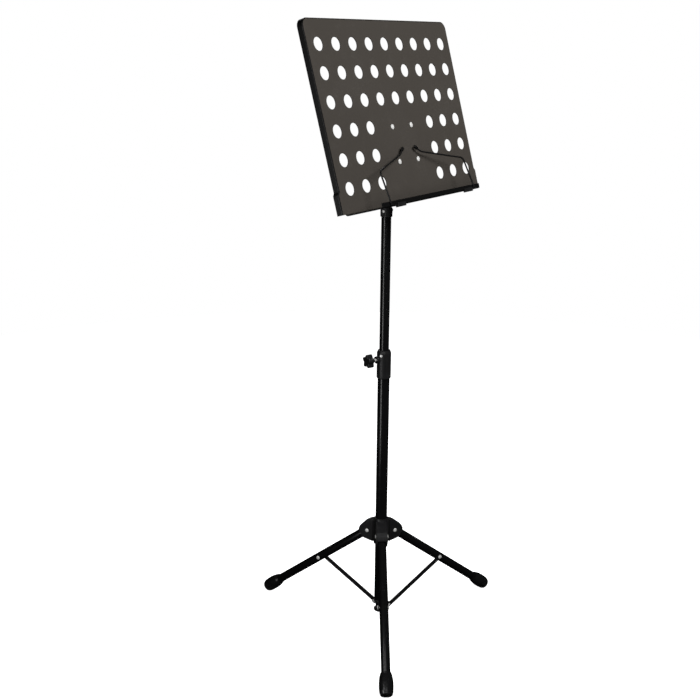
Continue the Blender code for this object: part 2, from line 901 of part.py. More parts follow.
def make_desk(swivel):
    """The desk sheet, its back bracket with the tilt arm, and the four rivets."""
    lean = Matrix.Rotation(-desk_lean, 4, "X")
    tilt = add_empty("desk_tilt", swivel, Matrix.Translation((0, 0, tilt_above_tube)) @ lean)
    desk = add_object("desk_plate", desk_surface(), parent=tilt, finish="desk_paint")
    sheet = desk.modifiers.new("sheet", "SOLIDIFY")
    sheet.thickness = desk_sheet
    sheet.offset = -1
    sheet.use_even_offset = True
    boolean(desk, hole_cutter("desk_holes", punched_holes(), hole_radius, hole_steps, tilt))
    small = desk_rivet_radius + GAP
    rivet_holes = hole_cutter("desk_rivet_holes", rivet_places(), small, small_steps, tilt)
    boolean(desk, rivet_holes)

    near = desk_face + desk_sheet + GAP
    low = axis_below_holes + bracket_bottom
    high = low + bracket_height
    bracket = block(
        "desk_bracket",
        (-bracket_width / 2, near, low),
        (bracket_width / 2, near + bracket_sheet, high),
        parent=tilt,
        finish="tube_paint",
    )
    outline = [(near + 0.5 * bracket_sheet, low + 8.0 * MM)]
    outline += [(near + 0.5 * bracket_sheet, high - 14.0 * MM)]
    outline += [(near + 12.0 * MM, high - 14.0 * MM)]
    outline += arc((0, 0), tilt_end_radius, 40, -140, 10)
    turn = Matrix.Rotation(math.pi / 2, 4, "Z")
    half = arm_thick / 2
    arm = slab("tilt_arm", outline, -half, half, parent=tilt, matrix=turn, cutter=True)
    boolean(bracket, arm, "UNION")
    axis = along((1, 0, 0))
    hole = rod(
        "arm_hole", bolt_radius + GAP, -0.03, 0.03, steps=small_steps,
        parent=tilt, matrix=axis, cutter=True,
    )
    boolean(bracket, hole)
    boolean(bracket, rivet_holes)
    back = near + bracket_sheet + GAP
    for index, (x, z) in enumerate(rivet_places()):
        rivet(
            f"desk_rivet_{index + 1}",
            (x, back, z),
            (x, desk_face - GAP, z),
            desk_rivet_radius,
            desk_rivet_head,
            tilt,
        )
    return tilt


def rounded_path(corners, bend, count=4):
    """Straight runs between corners, each corner replaced by an arc-like curve."""
    points = [Vector(corners[0])]
    for before, corner, after in zip(corners, corners[1:], corners[2:]):
        corner = Vector(corner)
        arrive = (Vector(before) - corner).normalized() * bend
        leave = (Vector(after) - corner).normalized() * bend
        for i in range(count + 1):
            t = i / count
            points.append(corner + arrive * (1 - t) ** 2 + leave * t**2)
    points.append(Vector(corners[-1]))
    return points


def wire(name, points, radius, **place):
    curve = bpy.data.curves.new(name, "CURVE")
    curve.dimensions = "3D"
    curve.bevel_depth = radius
    curve.bevel_resolution = 2
    curve.use_fill_caps = True
    spline = curve.splines.new("POLY")
    spline.points.add(len(points) - 1)
    for target, point in zip(spline.points, points):
        target.co = (*point, 1)
    return add_object(name, curve, **place)


def make_holder(side, name, tilt):
    """One page holder: a wire on a horizontal foot along the lip, with a rubber tip."""
    axis_y = desk_face - holder_front
    axis_z = desk_bottom
    hinge = add_empty(
        f"holder_{name}_hinge", tilt, Matrix.Translation((side * holder_outer, axis_y, axis_z))
    )
    shift = side * holder_outer
    end_x, end_z, end_gap = holder_end
    tip_x, tip_z, tip_gap = holder_tip_end
    corners = [
        (side * (holder_inner - holder_outer), 0, 0),
        (0, 0, 0),
        (-side * 2.0 * MM, holder_knee_back, holder_knee_height),
        (side * end_x - shift, holder_front - end_gap, end_z),
        (side * tip_x - shift, holder_front - tip_gap, tip_z),
    ]
    points = rounded_path(corners, wire_bend)
    wire(f"page_holder_{name}", points, wire_radius, parent=hinge, finish="tube_paint")
    end = Vector(corners[-1])
    back = (Vector(corners[-2]) - end).normalized()
    bore = wire_radius + GAP
    skin = tip_radius
    cap = 2.0 * MM
    deep = min(tip_length, (Vector(corners[-2]) - end).length - wire_bend) - cap
    profile = [
        (0, deep + cap + GAP),
        (0.6 * skin, deep + cap + GAP),
        (skin, deep + GAP),
        (skin, 0.8 * MM),
        (0.8 * skin, 0),
        (bore, 0),
        (bore, deep + GAP),
        (0, deep + GAP),
    ]
    turned(
        f"holder_tip_{name}",
        profile,
        steps=small_steps,
        parent=hinge,
        matrix=along(-back, end + back * deep),
        finish="black_rubber",
    )
    middle = side * (holder_inner + holder_outer - 2 * wire_bend) / 2
    half = block_length / 2
    behind = desk_face - ledge_depth - desk_sheet - GAP
    cube = block(
        f"holder_block_{name}",
        (middle - half, axis_y - block_size / 2, axis_z - block_size / 2),
        (middle + half, behind, axis_z + block_size / 2),
        parent=tilt,
        finish="black_plastic",
    )
    hole = rod(
        f"holder_bore_{name}",
        wire_radius + GAP,
        -block_length,
        block_length,
        steps=small_steps,
        parent=tilt,
        matrix=along((1, 0, 0), (middle, axis_y, axis_z)),
        cutter=True,
    )
    boolean(cube, hole)


def centre_on_floor(stand):
    """Moves the whole stand so that the middle of its box stands over the origin."""
    bpy.context.view_layer.update()
    graph = bpy.context.evaluated_depsgraph_get()
    corners = []
    for obj in parts.objects:
        if obj.type == "EMPTY":
            continue
        solid = obj.evaluated_get(graph)
        mesh = solid.to_mesh()
        corners += [solid.matrix_world @ vert.co for vert in mesh.vertices]
        solid.to_mesh_clear()
    for axis in (0, 1):
        values = [corner[axis] for corner in corners]
        stand.location[axis] = -(min(values) + max(values)) / 2
    bpy.context.view_layer.update()


def build():
    stand = add_empty("stand")
    make_post(stand)
    make_clamp(stand)
    slide = make_hub(stand)
    for index in range(leg_count):
        make_leg(index, stand, slide)
    swivel = make_upper_post(stand)
    tilt = make_desk(swivel)
    make_holder(-1, "left", tilt)
    make_holder(1, "right", tilt)
    centre_on_floor(stand)


build()
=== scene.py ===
import json
import math

import bmesh
import bpy
from mathutils import Matrix, Vector

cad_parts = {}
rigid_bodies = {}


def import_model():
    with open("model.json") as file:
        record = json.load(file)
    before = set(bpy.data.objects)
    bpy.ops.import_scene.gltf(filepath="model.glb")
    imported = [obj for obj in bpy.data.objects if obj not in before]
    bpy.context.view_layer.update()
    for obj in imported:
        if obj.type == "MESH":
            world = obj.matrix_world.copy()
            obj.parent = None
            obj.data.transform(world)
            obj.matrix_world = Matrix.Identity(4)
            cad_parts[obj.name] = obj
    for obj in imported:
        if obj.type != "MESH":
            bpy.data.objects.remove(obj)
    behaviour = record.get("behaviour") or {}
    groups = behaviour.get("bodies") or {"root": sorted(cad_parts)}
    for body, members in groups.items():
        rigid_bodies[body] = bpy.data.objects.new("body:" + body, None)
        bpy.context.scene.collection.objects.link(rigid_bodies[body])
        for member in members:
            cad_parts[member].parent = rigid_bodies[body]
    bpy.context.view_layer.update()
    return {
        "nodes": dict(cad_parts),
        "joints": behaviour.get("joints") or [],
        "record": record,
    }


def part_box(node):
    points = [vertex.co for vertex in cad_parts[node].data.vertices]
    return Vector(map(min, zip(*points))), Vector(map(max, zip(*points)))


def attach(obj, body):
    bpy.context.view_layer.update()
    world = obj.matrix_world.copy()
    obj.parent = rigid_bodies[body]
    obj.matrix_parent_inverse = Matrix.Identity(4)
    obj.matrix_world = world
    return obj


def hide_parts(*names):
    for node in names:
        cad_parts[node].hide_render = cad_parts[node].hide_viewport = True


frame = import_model()
joints = {joint["name"]: joint for joint in frame["joints"]}
mm = 0.001


# shader helpers

class Value:
    # a shader socket that takes part in ordinary arithmetic
    def __init__(self, net, socket):
        self.net = net
        self.socket = socket

    def __add__(self, other):
        return self.net.math("ADD", self, other)

    def __radd__(self, other):
        return self.net.math("ADD", self, other)

    def __mul__(self, other):
        return self.net.math("MULTIPLY", self, other)

    def __rmul__(self, other):
        return self.net.math("MULTIPLY", self, other)

    def __sub__(self, other):
        return self.net.math("SUBTRACT", self, other)

    def __rsub__(self, other):
        return self.net.math("SUBTRACT", other, self)


class Net:
    # one procedural material built round a Principled shader
    def __init__(self, name):
        self.material = bpy.data.materials.new(name)
        self.material.use_nodes = True
        self.tree = self.material.node_tree
        self.shader = self.tree.nodes["Principled BSDF"]

    def feed(self, socket, value):
        if isinstance(value, Value):
            self.tree.links.new(value.socket, socket)
        elif socket.type == "RGBA":
            socket.default_value = (*value, 1.0)
        else:
            socket.default_value = value

    def node(self, kind, settings=None, sockets=None, output=0):
        made = self.tree.nodes.new(kind)
        for key, value in (settings or {}).items():
            setattr(made, key, value)
        for key, value in (sockets or {}).items():
            self.feed(made.inputs[key], value)
        return Value(self, made.outputs[output])

    def math(self, operation, first, second):
        return self.node("ShaderNodeMath", {"operation": operation}, {0: first, 1: second})

    def place(self):
        return self.node("ShaderNodeTexCoord", output="Object")

    def stretched(self, scale):
        # object coordinates scaled differently along each axis
        settings = {"operation": "MULTIPLY"}
        return self.node("ShaderNodeVectorMath", settings, {0: self.place(), 1: scale})

    def noise(self, scale, detail, rough, vector=None):
        sockets = {"Vector": vector or self.place(), "Scale": scale, "Detail": detail}
        sockets["Roughness"] = rough
        return self.node("ShaderNodeTexNoise", {}, sockets, "Fac")

    def grain(self, scale):
        # distance to the nearest cell centre
        sockets = {"Vector": self.place(), "Scale": scale}
        return self.node("ShaderNodeTexVoronoi", {}, sockets, "Distance")

    def band(self, value, low, high):
        # 0 below low, 1 above high, smooth between
        sockets = {"Value": value, "From Min": low, "From Max": high}
        settings = {"interpolation_type": "SMOOTHSTEP"}
        return self.node("ShaderNodeMapRange", settings, sockets)

    def axis(self, letter):
        return self.node("ShaderNodeSeparateXYZ", {}, {0: self.place()}, letter)

    def mix(self, share, first, second):
        settings = {"data_type": "RGBA"}
        return self.node("ShaderNodeMix", settings, {0: share, 6: first, 7: second}, 2)

    def bump(self, height, strength, distance, normal=None):
        sockets = {"Height": height, "Strength": strength, "Distance": distance}
        if normal:
            sockets["Normal"] = normal
        return self.node("ShaderNodeBump", {}, sockets)

    def use(self, **inputs):
        names = {"colour": "Base Color", "roughness": "Roughness", "metallic": "Metallic"}
        names.update(normal="Normal", specular="Specular IOR Level")
        for key, value in inputs.items():
            self.feed(self.shader.inputs[names[key]], value)
        return self.material


# materials

deskPaint = {
    "colour": (0.040, 0.0355, 0.031),
    "worn": (0.058, 0.053, 0.048),
    "dust": (0.10, 0.094, 0.086),
    "edge": (0.0035, 0.0035, 0.0036),  # painted shade: bends, rims, hole walls, flanges, ledge and lip are darkened to this; they are also glossier
    "roughness": 0.46,
    "specular": 0.35,
    "peel": 2600.0,  # powder coat's orange peel, cells per metre
}


def makeDeskPaint(values):
    # powder coat: fine orange peel, cloudy gloss, a little dust and rubbing
    net = Net("deskPaint")
    cloud = net.noise(9.0, 4.0, 0.6)
    speck = net.noise(900.0, 2.0, 0.5)
    rubbed = net.band(net.noise(34.0, 6.0, 0.65), 0.56, 0.78)
    dusty = net.band(net.noise(5.0, 5.0, 0.6), 0.5, 0.8)
    base = net.mix(cloud * 0.5, values["colour"], tuple(c * 0.8 for c in values["colour"]))
    base = net.mix(rubbed * 0.35, base, values["worn"])
    base = net.mix(dusty * net.band(speck, 0.52, 0.6) * 0.25, base, values["dust"])
    # painted shade: where the edge mark is 1 the colour is darkened to the edge colour
    edge = net.node("ShaderNodeAttribute", {"attribute_name": "edge"}, output="Fac")
    base = net.mix(edge, base, values["edge"])
    peel = net.noise(values["peel"], 1.0, 0.4)
    wave = net.noise(60.0, 2.0, 0.5)
    normal = net.bump(peel, 0.35, 0.00008)
    normal = net.bump(wave, 0.08, 0.0006, normal)
    rough = values["roughness"] + cloud * 0.12 + speck * 0.06 - rubbed * 0.08 - edge * 0.12
    return net.use(colour=base, roughness=rough, normal=normal, specular=values["specular"])


tubePaint = {
    "colour": (0.0035, 0.0035, 0.0037),
    "scratch": (0.02, 0.02, 0.021),
    "roughness": 0.2,
    "specular": 0.45,
    "drawn": (700.0, 700.0, 6.0),  # drawing lines per metre across and along the tube
}


def makeTubePaint(values):
    # gloss enamel with drawing lines along the tube, fine scratches and finger marks
    net = Net("tubePaint")
    lines = net.noise(1.0, 3.0, 0.6, net.stretched(values["drawn"]))
    marks = net.band(net.noise(22.0, 5.0, 0.6), 0.5, 0.75)
    fine = net.stretched(tuple(share * 3 for share in values["drawn"]))
    scratch = net.band(net.noise(1.0, 2.0, 0.5, fine), 0.7, 0.78)
    base = net.mix(scratch * 0.3, values["colour"], values["scratch"])
    rough = values["roughness"] + marks * 0.12 + lines * 0.05 + scratch * 0.1
    normal = net.bump(lines, 0.05, 0.0002)
    normal = net.bump(net.noise(260.0, 2.0, 0.5), 0.04, 0.0002, normal)
    return net.use(colour=base, roughness=rough, normal=normal, specular=values["specular"])


steelPaint = {
    "colour": (0.006, 0.006, 0.0063),
    "worn": (0.06, 0.058, 0.055),
    "roughness": 0.34,
    "specular": 0.4,
}


def makeSteelPaint(values):
    # thinner satin coat on wire and strip
    net = Net("steelPaint")
    cloud = net.noise(40.0, 4.0, 0.6)
    chips = net.band(net.noise(220.0, 4.0, 0.7), 0.68, 0.74)
    base = net.mix(chips * 0.5, values["colour"], values["worn"])
    rough = values["roughness"] + cloud * 0.14 + chips * 0.1
    normal = net.bump(net.noise(1500.0, 2.0, 0.5), 0.25, 0.00006)
    normal = net.bump(chips, 0.2, 0.0001, normal)
    return net.use(colour=base, roughness=rough, normal=normal, specular=values["specular"])


blackPlastic = {
    "colour": (0.008, 0.008, 0.0083),
    "pale": (0.02, 0.02, 0.0205),
    "roughness": 0.33,
    "specular": 0.4,
    "grain": 1400.0,
}


def makePlastic(values):
    # moulded nylon: spark-eroded grain, pale handling marks
    net = Net("blackPlastic")
    grain = net.grain(values["grain"])
    cloud = net.noise(30.0, 5.0, 0.6)
    marks = net.band(cloud, 0.52, 0.78)
    base = net.mix(marks * 0.5, values["colour"], values["pale"])
    rough = values["roughness"] + cloud * 0.16 - marks * 0.05
    normal = net.bump(grain, 0.3, 0.00007)
    normal = net.bump(net.noise(90.0, 3.0, 0.5), 0.06, 0.0005, normal)
    return net.use(colour=base, roughness=rough, normal=normal, specular=values["specular"])


footRubber = {
    "colour": (0.005, 0.005, 0.0052),
    "dust": (0.05, 0.047, 0.043),
    "roughness": 0.2,
    "specular": 0.45,
    "dustHeight": 0.022,  # dust thins out above this height over the floor
}


def makeRubber(values):
    # glossy vulcanised rubber, scuffed and dusty where it meets the floor
    net = Net("footRubber")
    cloud = net.noise(70.0, 5.0, 0.65)
    low = 1.0 - net.band(net.axis("Z"), 0.0, values["dustHeight"])
    scuff = low * net.band(cloud, 0.46, 0.66)
    base = net.mix(scuff * 0.45, values["colour"], values["dust"])
    rough = values["roughness"] + cloud * 0.12 + scuff * 0.3
    normal = net.bump(net.noise(420.0, 4.0, 0.6), 0.12, 0.0002)
    normal = net.bump(scuff, 0.15, 0.0002, normal)
    return net.use(colour=base, roughness=rough, normal=normal, specular=values["specular"])


zinc = {
    "colour": (0.92, 0.92, 0.9),
    "dull": (0.62, 0.61, 0.58),
    "roughness": 0.34,
    "metallic": 0.5,  # the plate is milky, so half of it scatters
}


def makeZinc(values):
    # bright zinc plate with dull patches and fine tool lines
    net = Net("zinc")
    cloud = net.band(net.noise(260.0, 5.0, 0.65), 0.42, 0.72)
    base = net.mix(cloud * 0.7, values["colour"], values["dull"])
    lines = net.noise(1.0, 2.0, 0.5, net.stretched((3000.0, 3000.0, 500.0)))
    rough = values["roughness"] + cloud * 0.22 + lines * 0.06
    normal = net.bump(lines, 0.08, 0.00005)
    return net.use(colour=base, roughness=rough, normal=normal, metallic=values["metallic"])


nylon = {
    "colour": (0.62, 0.59, 0.52),
    "dirt": (0.2, 0.18, 0.15),
    "roughness": 0.4,
}


def makeNylon(values):
    # natural nylon, greyed by the tube it rubs on
    net = Net("nylon")
    cloud = net.noise(150.0, 5.0, 0.6)
    base = net.mix(net.band(cloud, 0.45, 0.7) * 0.4, values["colour"], values["dirt"])
    normal = net.bump(net.noise(900.0, 2.0, 0.5), 0.1, 0.0001)
    return net.use(colour=base, roughness=values["roughness"] + cloud * 0.15, normal=normal)


finishes = {
    "desk_paint": makeDeskPaint(deskPaint),
    "tube_paint": makeTubePaint(tubePaint),
    "steel_paint": makeSteelPaint(steelPaint),
    "black_plastic": makePlastic(blackPlastic),
    "black_rubber": makeRubber(footRubber),
    "zinc": makeZinc(zinc),
    "nylon": makeNylon(nylon),
}
slotOf = {row["node"]: row["material_slot"] for row in frame["record"]["subparts"]}
print("stage: materials", len(finishes))


# shape helpers

making = {
    "turnSteps": 56,  # round a turned fastener
    "wireSides": 28,
    "breakEdge": 0.25 * mm,  # on turned fasteners
    "stampEdge": 0.4 * mm,  # on stamped strip
    "weld": 0.0001 * mm,  # points nearer than this are one
}


def addPiece(name, mesh, body, slot, nodes):
    # every finished piece: its mesh is already in place, its object at the origin
    obj = bpy.data.objects.new(name, mesh)
    bpy.context.scene.collection.objects.link(obj)
    mesh.materials.clear()
    mesh.materials.append(finishes[slot])
    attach(obj, body)
    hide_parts(*nodes)
    return obj


def meshOf(bm, name, smoothAngle=35.0, flatOver=1.0):
    # smooth inside the angle; faces larger than flatOver square metres stay flat
    mesh = bpy.data.meshes.new(name)
    bm.normal_update()
    for face in bm.faces:
        face.smooth = face.calc_area() < flatOver
    limit = math.radians(smoothAngle)
    for edge in bm.edges:
        if len(edge.link_faces) == 2:
            edge.smooth = edge.calc_face_angle(0.0) < limit
    bm.to_mesh(mesh)
    bm.free()
    return mesh


def latheInto(bm, profile, matrix, steps):
    # profile of (radius, height), outer side top to bottom, turned about local Z
    rings = []
    for radius, height in profile:
        if radius < 1e-7:
            rings.append([bm.verts.new(matrix @ Vector((0, 0, height)))])
            continue
        ring = []
        for index in range(steps):
            turn = math.tau * index / steps
            point = (radius * math.cos(turn), radius * math.sin(turn), height)
            ring.append(bm.verts.new(matrix @ Vector(point)))
        rings.append(ring)
    for upper, lower in zip(rings, rings[1:]):
        for index in range(steps):
            after = (index + 1) % steps
            corners = [upper[index % len(upper)], lower[index % len(lower)]]
            corners += [lower[after % len(lower)], upper[after % len(upper)]]
            unique = list(dict.fromkeys(corners))
            if len(unique) > 2:
                bm.faces.new(unique)


def lathe(name, profile, matrix, steps):
    bm = bmesh.new()
    latheInto(bm, profile, matrix, steps)
    bmesh.ops.remove_doubles(bm, verts=bm.verts, dist=making["weld"])
    return meshOf(bm, name)


def along(direction, origin=(0, 0, 0)):
    turn = Vector(direction).to_track_quat("Z", "X").to_matrix().to_4x4()
    return Matrix.Translation(origin) @ turn


def evaluated(obj, name):
    # the object's finished mesh, with its modifiers worked out
    bpy.context.view_layer.update()
    graph = bpy.context.evaluated_depsgraph_get()
    mesh = bpy.data.meshes.new_from_object(obj.evaluated_get(graph))
    mesh.name = name
    holder = obj.data
    bpy.data.objects.remove(obj)
    if holder.users == 0 and isinstance(holder, bpy.types.Mesh):
        bpy.data.meshes.remove(holder)
    return mesh


def mergedCopy(node):
    # the CAD node's triangles welded and flattened, as a loose object
    bm = bmesh.new()
    bm.from_mesh(frame["nodes"][node].data)
    bmesh.ops.remove_doubles(bm, verts=bm.verts, dist=0.00002)
    flat = math.radians(1.0)
    bmesh.ops.dissolve_limit(bm, angle_limit=flat, verts=bm.verts, edges=bm.edges)
    mesh = bpy.data.meshes.new(node + "Copy")
    bm.to_mesh(mesh)
    bm.free()
    obj = bpy.data.objects.new(node + "Copy", mesh)
    bpy.context.scene.collection.objects.link(obj)
    return obj


def moulded(name, node, voxel, smoothing, share):
    # a moulded piece: the CAD solid with every edge softened
    obj = mergedCopy(node)
    remesh = obj.modifiers.new("remesh", "REMESH")
    remesh.mode = "VOXEL"
    remesh.voxel_size = voxel
    soft = obj.modifiers.new("soft", "SMOOTH")
    soft.factor = 0.5
    soft.iterations = smoothing
    fewer = obj.modifiers.new("fewer", "DECIMATE")
    fewer.ratio = share
    mesh = evaluated(obj, name)
    for polygon in mesh.polygons:
        polygon.use_smooth = True
    return mesh


def takenApart(mesh):
    # the mesh moved into an editable one
    bm = bmesh.new()
    bm.from_mesh(mesh)
    bpy.data.meshes.remove(mesh)
    return bm


def bevelled(name, node, width, segments):
    # a cut or stamped piece with broken edges
    obj = mergedCopy(node)
    edge = obj.modifiers.new("edge", "BEVEL")
    edge.width = width
    edge.segments = segments
    edge.limit_method = "ANGLE"
    edge.angle_limit = math.radians(40)
    return meshOf(takenApart(evaluated(obj, name)), name, 30.0, 15.0 * mm**2)


def roundedProfile(points, edge):
    # each sharp corner of a (radius, height) profile replaced by a small arc
    made = [points[0]]
    for before, corner, after in zip(points, points[1:], points[2:]):
        corner = Vector(corner)
        arrive = Vector(before) - corner
        leave = Vector(after) - corner
        if arrive.angle(leave) > math.radians(165):
            made.append(tuple(corner))
            continue
        cut = min(edge, 0.4 * arrive.length, 0.4 * leave.length)
        for t in (0.0, 0.25, 0.5, 0.75, 1.0):
            bend = arrive.normalized() * (1 - t) ** 2 + leave.normalized() * t**2
            made.append(tuple(corner + bend * cut))
    made.append(points[-1])
    return made


def cadProfile(node, direction):
    # the half outline of a turned CAD node, and the frame of its axis
    bm = takenApart(mergedCopy(node).data)
    centre = sum((vert.co for vert in bm.verts), Vector()) / len(bm.verts)
    matrix = along(direction, centre)
    back = matrix.inverted()
    spots = {vert: back @ vert.co for vert in bm.verts}
    widest = max(spots.values(), key=lambda spot: spot.xy.length)
    aim = math.atan2(widest.y, widest.x)
    links = {}
    for edge in bm.edges:
        ends = []
        for vert in edge.verts:
            spot = spots[vert]
            radius = spot.xy.length
            turn = abs(math.remainder(math.atan2(spot.y, spot.x) - aim, math.tau))
            if radius < 1e-6 or turn < 0.02:
                ends.append((round(radius, 7), round(spot.z, 7)))
        if len(ends) == 2:
            links.setdefault(ends[0], []).append(ends[1])
            links.setdefault(ends[1], []).append(ends[0])
    bm.free()
    loose = [point for point, near in links.items() if len(near) == 1]
    chain = [max(loose or links, key=lambda point: point[1])]
    while True:
        near = [point for point in links[chain[-1]] if point not in chain]
        if not near:
            break
        chain.append(near[0])
    if not loose:
        return chain + [chain[0]], matrix
    if chain[0][0] > 1e-6:
        chain.insert(0, (0.0, chain[0][1]))
    if chain[-1][0] > 1e-6:
        chain.append((0.0, chain[-1][1]))
    return chain, matrix


def roundedPath(corners, bend, count=10):
    # the corners joined by straight runs, each corner replaced by a bend of count steps
    points = [Vector(corners[0])]
    for before, corner, after in zip(corners, corners[1:], corners[2:]):
        corner = Vector(corner)
        arrive = (Vector(before) - corner).normalized() * bend
        leave = (Vector(after) - corner).normalized() * bend
        for index in range(count + 1):
            t = index / count
            points.append(corner + arrive * (1 - t) ** 2 + leave * t**2)
    points.append(Vector(corners[-1]))
    return points


# Geometry Nodes helpers

class Graph:
    # a node group built one call at a time
    def __init__(self, name):
        self.tree = bpy.data.node_groups.new(name, "GeometryNodeTree")
        for way in ("INPUT", "OUTPUT"):
            self.tree.interface.new_socket(
                "Geometry", in_out=way, socket_type="NodeSocketGeometry"
            )
        self.entry = self.tree.nodes.new("NodeGroupInput")
        self.exit = self.tree.nodes.new("NodeGroupOutput")
        self.ids = {}

    def size(self, name, kind="NodeSocketFloat"):
        item = self.tree.interface.new_socket(name, in_out="INPUT", socket_type=kind)
        self.ids[name] = item.identifier
        return self.entry.outputs[name]

    def add(self, kind, settings=None, sockets=None, output=0):
        made = self.tree.nodes.new(kind)
        for key, value in (settings or {}).items():
            setattr(made, key, value)
        for key, value in (sockets or {}).items():
            sources = value if isinstance(value, list) else [value]
            for source in sources:
                if isinstance(source, bpy.types.NodeSocket):
                    self.tree.links.new(source, made.inputs[key])
                else:
                    made.inputs[key].default_value = source
        return made.outputs[output]

    def maths(self, operation, first, second=0.0):
        return self.add("ShaderNodeMath", {"operation": operation}, {0: first, 1: second})

    def finish(self, geometry, material):
        real = self.add("GeometryNodeRealizeInstances", {}, {0: geometry})
        painted = self.add("GeometryNodeSetMaterial", {}, {"Geometry": real, "Material": material})
        self.tree.links.new(painted, self.exit.inputs[0])

    def run(self, name, startMesh, values):
        obj = bpy.data.objects.new(name, startMesh)
        bpy.context.scene.collection.objects.link(obj)
        step = obj.modifiers.new("nodes", "NODES")
        step.node_group = self.tree
        for key, value in values.items():
            step[self.ids[key]] = value
        return evaluated(obj, name)


def turnedPiece(name, node, body, slot, direction, edge=making["breakEdge"]):
    # a fastener or cap turned from its CAD profile with every corner rounded
    profile, matrix = cadProfile(node, direction)
    bm = takenApart(lathe(name, roundedProfile(profile, edge), matrix, making["turnSteps"]))
    bmesh.ops.recalc_face_normals(bm, faces=bm.faces)
    return addPiece(name, meshOf(bm, name, 40.0), body, slot, [node])


def pathGraph(material):
    # a round bar swept along the edges it is given
    graph = Graph("bentWire")
    radius = graph.size("Radius")
    sides = graph.size("Sides", "NodeSocketInt")
    path = graph.add("GeometryNodeMeshToCurve", {}, {0: graph.entry.outputs[0]})
    size = {"Resolution": sides, "Radius": radius}
    ring = graph.add("GeometryNodeCurvePrimitiveCircle", {}, size)
    bar = graph.add(
        "GeometryNodeCurveToMesh", {}, {"Curve": path, "Profile Curve": ring, "Fill Caps": True}
    )
    graph.finish(bar, material)
    return graph


bars = pathGraph(finishes["steel_paint"])


def wireMesh(name, points, radius, matrix):
    start = bpy.data.meshes.new(name + "Path")
    places = [tuple(matrix @ point) for point in points]
    start.from_pydata(places, [(i, i + 1) for i in range(len(places) - 1)], [])
    bm = takenApart(bars.run(name, start, {"Radius": radius, "Sides": making["wireSides"]}))
    bmesh.ops.remove_doubles(bm, verts=bm.verts, dist=1e-6)
    rims = [edge for edge in bm.edges if edge.calc_face_angle(0.0) > math.radians(60)]
    bmesh.ops.bevel(bm, geom=rims, offset=0.3 * radius, segments=3, affect="EDGES", profile=0.5)
    bmesh.ops.recalc_face_normals(bm, faces=bm.faces)
    return meshOf(bm, name)


def rivetGraph(material):
    # domed heads on points; each point's "aim" is the way its head faces
    graph = Graph("rivetHeads")
    radius = graph.size("Head Radius")
    height = graph.size("Head Height")
    shank = graph.size("Shank Radius")
    depth = graph.size("Shank Length")
    ball = graph.add(
        "GeometryNodeMeshUVSphere", {}, {"Segments": 40, "Rings": 24, "Radius": radius}
    )
    where = graph.add("GeometryNodeInputPosition")
    up = graph.add("ShaderNodeSeparateXYZ", {}, {0: where}, "Z")
    below = graph.add("FunctionNodeCompare", {"operation": "LESS_THAN"}, {0: up, 1: -0.00001})
    dome = graph.add(
        "GeometryNodeDeleteGeometry", {"domain": "POINT"}, {"Geometry": ball, "Selection": below}
    )
    flatten = graph.maths("DIVIDE", graph.maths("MULTIPLY", height, 0.75), radius)
    squash = graph.add("ShaderNodeCombineXYZ", {}, {0: 1.0, 1: 1.0, 2: flatten})
    lift = graph.add("ShaderNodeCombineXYZ", {}, {2: graph.maths("MULTIPLY", height, 0.25)})
    dome = graph.add(
        "GeometryNodeTransform", {}, {"Geometry": dome, "Scale": squash, "Translation": lift}
    )
    base = graph.add(
        "GeometryNodeMeshCylinder",
        {},
        {"Vertices": 40, "Radius": radius, "Depth": graph.maths("MULTIPLY", height, 0.25)},
    )
    half = graph.add("ShaderNodeCombineXYZ", {}, {2: graph.maths("MULTIPLY", height, 0.125)})
    base = graph.add("GeometryNodeTransform", {}, {"Geometry": base, "Translation": half})
    stem = graph.add(
        "GeometryNodeMeshCylinder", {}, {"Vertices": 24, "Radius": shank, "Depth": depth}
    )
    down = graph.add("ShaderNodeCombineXYZ", {}, {2: graph.maths("MULTIPLY", depth, -0.5)})
    stem = graph.add("GeometryNodeTransform", {}, {"Geometry": stem, "Translation": down})
    head = graph.add("GeometryNodeJoinGeometry", {}, {0: [dome, base, stem]})
    aim = graph.add("GeometryNodeInputNamedAttribute", {"data_type": "FLOAT_VECTOR"}, {0: "aim"})
    turn = graph.add("FunctionNodeAlignRotationToVector", {"axis": "Z"}, {"Vector": aim})
    points = graph.add("GeometryNodeMeshToPoints", {}, {0: graph.entry.outputs[0], "Radius": 0.001})
    heads = graph.add(
        "GeometryNodeInstanceOnPoints", {}, {"Points": points, "Instance": head, "Rotation": turn}
    )
    smooth = graph.add("GeometryNodeSetShadeSmooth", {}, {0: heads})
    graph.finish(smooth, material)
    return graph


rivets = rivetGraph(finishes["zinc"])


def rivetPiece(name, body, nodes, places, headRadius, headHeight, shankRadius, length):
    # places are (point, outward direction) under each head
    start = bpy.data.meshes.new(name + "Start")
    start.from_pydata([tuple(point) for point, _ in places], [], [])
    aims = start.attributes.new("aim", "FLOAT_VECTOR", "POINT")
    for item, (_, direction) in zip(aims.data, places):
        item.vector = tuple(direction)
    values = {"Head Radius": headRadius, "Head Height": headHeight}
    values.update({"Shank Radius": shankRadius, "Shank Length": length})
    mesh = meshOf(takenApart(rivets.run(name, start, values)), name)
    return addPiece(name, mesh, body, "zinc", nodes)


# tubes of the post

post = {
    "segments": 96,
    "edge": 0.35 * mm,
    "wall": 1.2 * mm,
}


def tubeProfile(outer, inner, bottom, top, edge):
    # a tube's wall with both ends broken by a small round
    points = [(outer - edge, top), (outer - 0.3 * edge, top - 0.3 * edge), (outer, top - edge)]
    points += [(outer, bottom + edge), (outer - 0.3 * edge, bottom + 0.3 * edge)]
    points += [(outer - edge, bottom), (inner, bottom), (inner, top), (outer - edge, top)]
    return points


